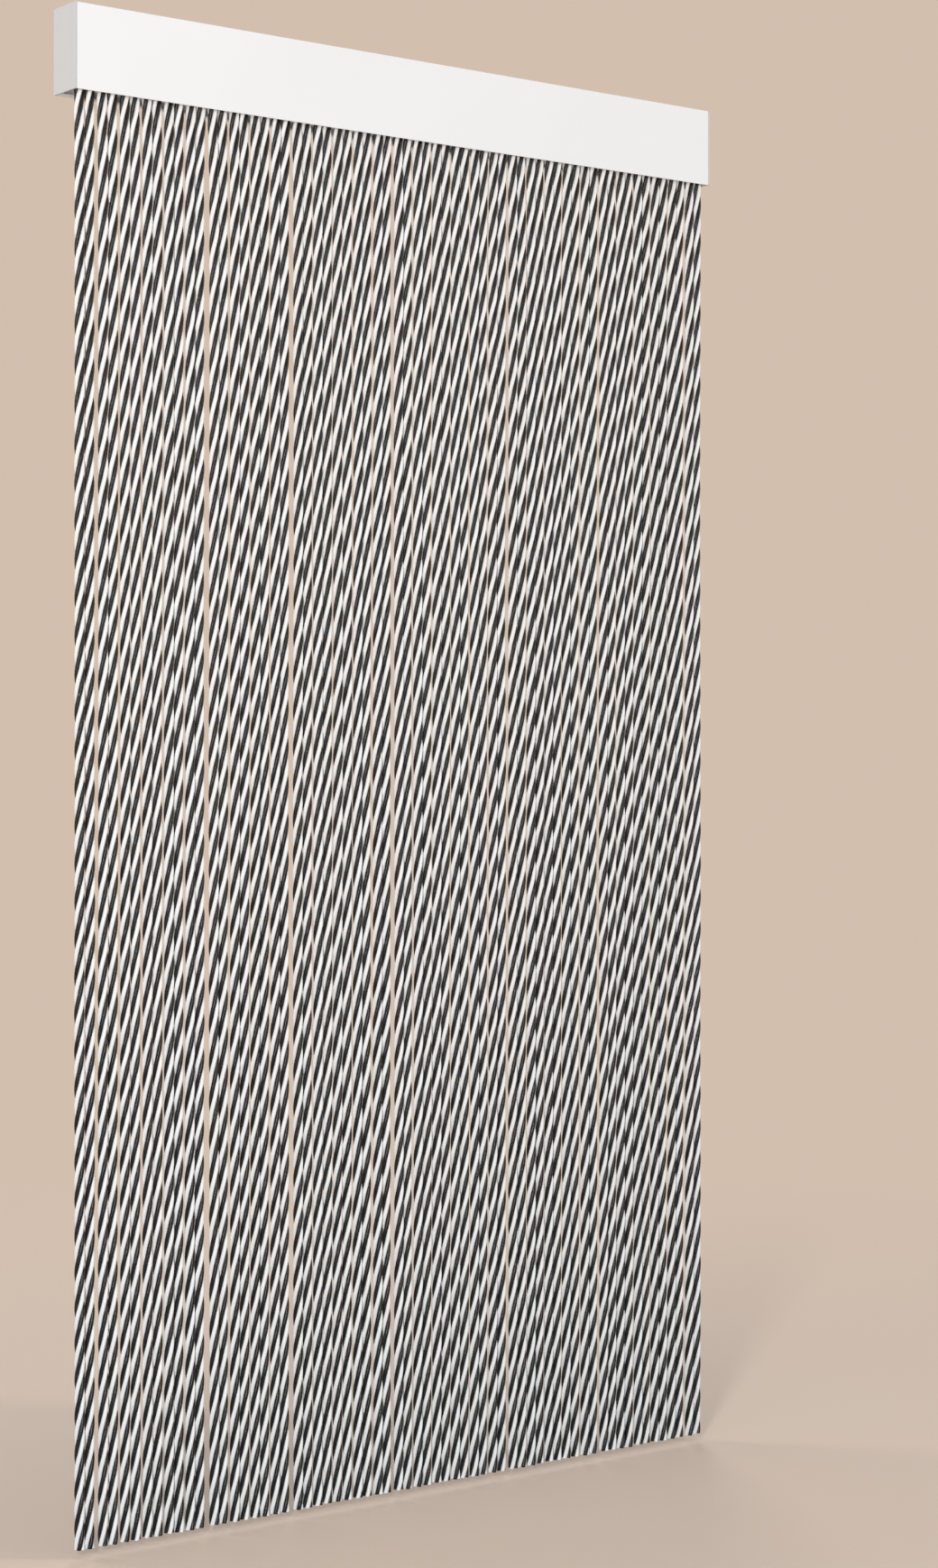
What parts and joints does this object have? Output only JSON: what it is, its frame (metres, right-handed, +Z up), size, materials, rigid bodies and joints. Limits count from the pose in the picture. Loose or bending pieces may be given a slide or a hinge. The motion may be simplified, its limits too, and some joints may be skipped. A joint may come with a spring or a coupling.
{
  "type": "fly door curtain",
  "caption": "Door fly curtain: a wall-mounted header rail with a row of thick twisted black and white vinyl cords that hang to the floor and swing on a rod inside the header.",
  "frame": {"origin": "middle of the header's back face, where it meets the wall", "axes": "+X to the right seen from the front, +Y into the wall, +Z up; the front faces -Y"},
  "size_m": [1.2, 0.062, 2.2],
  "materials": {
    "white_powder_coat": "satin",
    "pale_grey_plastic": "satin",
    "zinc_plated_steel": "satin",
    "screw_steel": "satin",
    "twisted_vinyl_cord": "satin"
  },
  "bodies": {
    "header": {"wall_rail": "white_powder_coat", "front_cover": "white_powder_coat", "end_cap_left": "pale_grey_plastic", "end_cap_right": "pale_grey_plastic", "hanging_rod": "zinc_plated_steel", "rod_bracket_1": "zinc_plated_steel", "rod_bracket_2": "zinc_plated_steel", "rod_bracket_3": "zinc_plated_steel", "rod_bracket_4": "zinc_plated_steel", "rod_bracket_5": "zinc_plated_steel", "bracket_screw_1": "screw_steel", "bracket_screw_2": "screw_steel", "bracket_screw_3": "screw_steel", "bracket_screw_4": "screw_steel", "bracket_screw_5": "screw_steel"},
    "strand_pair_01": {"strand_pair_01": "twisted_vinyl_cord"},
    "strand_pair_02": {"strand_pair_02": "twisted_vinyl_cord"},
    "strand_pair_03": {"strand_pair_03": "twisted_vinyl_cord"},
    "strand_pair_04": {"strand_pair_04": "twisted_vinyl_cord"},
    "strand_pair_05": {"strand_pair_05": "twisted_vinyl_cord"},
    "strand_pair_06": {"strand_pair_06": "twisted_vinyl_cord"},
    "strand_pair_07": {"strand_pair_07": "twisted_vinyl_cord"},
    "strand_pair_08": {"strand_pair_08": "twisted_vinyl_cord"},
    "strand_pair_09": {"strand_pair_09": "twisted_vinyl_cord"},
    "strand_pair_10": {"strand_pair_10": "twisted_vinyl_cord"},
    "strand_pair_11": {"strand_pair_11": "twisted_vinyl_cord"},
    "strand_pair_12": {"strand_pair_12": "twisted_vinyl_cord"},
    "strand_pair_13": {"strand_pair_13": "twisted_vinyl_cord"},
    "strand_pair_14": {"strand_pair_14": "twisted_vinyl_cord"},
    "strand_pair_15": {"strand_pair_15": "twisted_vinyl_cord"},
    "strand_pair_16": {"strand_pair_16": "twisted_vinyl_cord"},
    "strand_pair_17": {"strand_pair_17": "twisted_vinyl_cord"},
    "strand_pair_18": {"strand_pair_18": "twisted_vinyl_cord"},
    "strand_pair_19": {"strand_pair_19": "twisted_vinyl_cord"},
    "strand_pair_20": {"strand_pair_20": "twisted_vinyl_cord"},
    "strand_pair_21": {"strand_pair_21": "twisted_vinyl_cord"},
    "strand_pair_22": {"strand_pair_22": "twisted_vinyl_cord"},
    "strand_pair_23": {"strand_pair_23": "twisted_vinyl_cord"},
    "strand_pair_24": {"strand_pair_24": "twisted_vinyl_cord"},
    "strand_pair_25": {"strand_pair_25": "twisted_vinyl_cord"},
    "strand_pair_26": {"strand_pair_26": "twisted_vinyl_cord"},
    "strand_pair_27": {"strand_pair_27": "twisted_vinyl_cord"},
    "strand_pair_28": {"strand_pair_28": "twisted_vinyl_cord"},
    "strand_pair_29": {"strand_pair_29": "twisted_vinyl_cord"},
    "strand_pair_30": {"strand_pair_30": "twisted_vinyl_cord"},
    "strand_pair_31": {"strand_pair_31": "twisted_vinyl_cord"},
    "strand_pair_32": {"strand_pair_32": "twisted_vinyl_cord"}
  },
  "joints": [
    {"name": "strand_pair_01_swing", "type": "hinge", "parent": "header", "child": "strand_pair_01", "pos_m": [-0.5766, -0.0465, -0.0535], "axis": [1, 0, 0], "range_deg": [-30, 60]},
    {"name": "strand_pair_02_swing", "type": "hinge", "parent": "header", "child": "strand_pair_02", "pos_m": [-0.5394, -0.0465, -0.0535], "axis": [1, 0, 0], "range_deg": [-30, 60]},
    {"name": "strand_pair_03_swing", "type": "hinge", "parent": "header", "child": "strand_pair_03", "pos_m": [-0.5022, -0.0465, -0.0535], "axis": [1, 0, 0], "range_deg": [-30, 60]},
    {"name": "strand_pair_04_swing", "type": "hinge", "parent": "header", "child": "strand_pair_04", "pos_m": [-0.465, -0.0465, -0.0535], "axis": [1, 0, 0], "range_deg": [-30, 60]},
    {"name": "strand_pair_05_swing", "type": "hinge", "parent": "header", "child": "strand_pair_05", "pos_m": [-0.4278, -0.0465, -0.0535], "axis": [1, 0, 0], "range_deg": [-30, 60]},
    {"name": "strand_pair_06_swing", "type": "hinge", "parent": "header", "child": "strand_pair_06", "pos_m": [-0.3906, -0.0465, -0.0535], "axis": [1, 0, 0], "range_deg": [-30, 60]},
    {"name": "strand_pair_07_swing", "type": "hinge", "parent": "header", "child": "strand_pair_07", "pos_m": [-0.3534, -0.0465, -0.0535], "axis": [1, 0, 0], "range_deg": [-30, 60]},
    {"name": "strand_pair_08_swing", "type": "hinge", "parent": "header", "child": "strand_pair_08", "pos_m": [-0.3162, -0.0465, -0.0535], "axis": [1, 0, 0], "range_deg": [-30, 60]},
    {"name": "strand_pair_09_swing", "type": "hinge", "parent": "header", "child": "strand_pair_09", "pos_m": [-0.279, -0.0465, -0.0535], "axis": [1, 0, 0], "range_deg": [-30, 60]},
    {"name": "strand_pair_10_swing", "type": "hinge", "parent": "header", "child": "strand_pair_10", "pos_m": [-0.2418, -0.0465, -0.0535], "axis": [1, 0, 0], "range_deg": [-30, 60]},
    {"name": "strand_pair_11_swing", "type": "hinge", "parent": "header", "child": "strand_pair_11", "pos_m": [-0.2046, -0.0465, -0.0535], "axis": [1, 0, 0], "range_deg": [-30, 60]},
    {"name": "strand_pair_12_swing", "type": "hinge", "parent": "header", "child": "strand_pair_12", "pos_m": [-0.1674, -0.0465, -0.0535], "axis": [1, 0, 0], "range_deg": [-30, 60]},
    {"name": "strand_pair_13_swing", "type": "hinge", "parent": "header", "child": "strand_pair_13", "pos_m": [-0.1302, -0.0465, -0.0535], "axis": [1, 0, 0], "range_deg": [-30, 60]},
    {"name": "strand_pair_14_swing", "type": "hinge", "parent": "header", "child": "strand_pair_14", "pos_m": [-0.093, -0.0465, -0.0535], "axis": [1, 0, 0], "range_deg": [-30, 60]},
    {"name": "strand_pair_15_swing", "type": "hinge", "parent": "header", "child": "strand_pair_15", "pos_m": [-0.0558, -0.0465, -0.0535], "axis": [1, 0, 0], "range_deg": [-30, 60]},
    {"name": "strand_pair_16_swing", "type": "hinge", "parent": "header", "child": "strand_pair_16", "pos_m": [-0.0186, -0.0465, -0.0535], "axis": [1, 0, 0], "range_deg": [-30, 60]},
    {"name": "strand_pair_17_swing", "type": "hinge", "parent": "header", "child": "strand_pair_17", "pos_m": [0.0186, -0.0465, -0.0535], "axis": [1, 0, 0], "range_deg": [-30, 60]},
    {"name": "strand_pair_18_swing", "type": "hinge", "parent": "header", "child": "strand_pair_18", "pos_m": [0.0558, -0.0465, -0.0535], "axis": [1, 0, 0], "range_deg": [-30, 60]},
    {"name": "strand_pair_19_swing", "type": "hinge", "parent": "header", "child": "strand_pair_19", "pos_m": [0.093, -0.0465, -0.0535], "axis": [1, 0, 0], "range_deg": [-30, 60]},
    {"name": "strand_pair_20_swing", "type": "hinge", "parent": "header", "child": "strand_pair_20", "pos_m": [0.1302, -0.0465, -0.0535], "axis": [1, 0, 0], "range_deg": [-30, 60]},
    {"name": "strand_pair_21_swing", "type": "hinge", "parent": "header", "child": "strand_pair_21", "pos_m": [0.1674, -0.0465, -0.0535], "axis": [1, 0, 0], "range_deg": [-30, 60]},
    {"name": "strand_pair_22_swing", "type": "hinge", "parent": "header", "child": "strand_pair_22", "pos_m": [0.2046, -0.0465, -0.0535], "axis": [1, 0, 0], "range_deg": [-30, 60]},
    {"name": "strand_pair_23_swing", "type": "hinge", "parent": "header", "child": "strand_pair_23", "pos_m": [0.2418, -0.0465, -0.0535], "axis": [1, 0, 0], "range_deg": [-30, 60]},
    {"name": "strand_pair_24_swing", "type": "hinge", "parent": "header", "child": "strand_pair_24", "pos_m": [0.279, -0.0465, -0.0535], "axis": [1, 0, 0], "range_deg": [-30, 60]},
    {"name": "strand_pair_25_swing", "type": "hinge", "parent": "header", "child": "strand_pair_25", "pos_m": [0.3162, -0.0465, -0.0535], "axis": [1, 0, 0], "range_deg": [-30, 60]},
    {"name": "strand_pair_26_swing", "type": "hinge", "parent": "header", "child": "strand_pair_26", "pos_m": [0.3534, -0.0465, -0.0535], "axis": [1, 0, 0], "range_deg": [-30, 60]},
    {"name": "strand_pair_27_swing", "type": "hinge", "parent": "header", "child": "strand_pair_27", "pos_m": [0.3906, -0.0465, -0.0535], "axis": [1, 0, 0], "range_deg": [-30, 60]},
    {"name": "strand_pair_28_swing", "type": "hinge", "parent": "header", "child": "strand_pair_28", "pos_m": [0.4278, -0.0465, -0.0535], "axis": [1, 0, 0], "range_deg": [-30, 60]},
    {"name": "strand_pair_29_swing", "type": "hinge", "parent": "header", "child": "strand_pair_29", "pos_m": [0.465, -0.0465, -0.0535], "axis": [1, 0, 0], "range_deg": [-30, 60]},
    {"name": "strand_pair_30_swing", "type": "hinge", "parent": "header", "child": "strand_pair_30", "pos_m": [0.5022, -0.0465, -0.0535], "axis": [1, 0, 0], "range_deg": [-30, 60]},
    {"name": "strand_pair_31_swing", "type": "hinge", "parent": "header", "child": "strand_pair_31", "pos_m": [0.5394, -0.0465, -0.0535], "axis": [1, 0, 0], "range_deg": [-30, 60]},
    {"name": "strand_pair_32_swing", "type": "hinge", "parent": "header", "child": "strand_pair_32", "pos_m": [0.5766, -0.0465, -0.0535], "axis": [1, 0, 0], "range_deg": [-30, 60]}
  ]
}
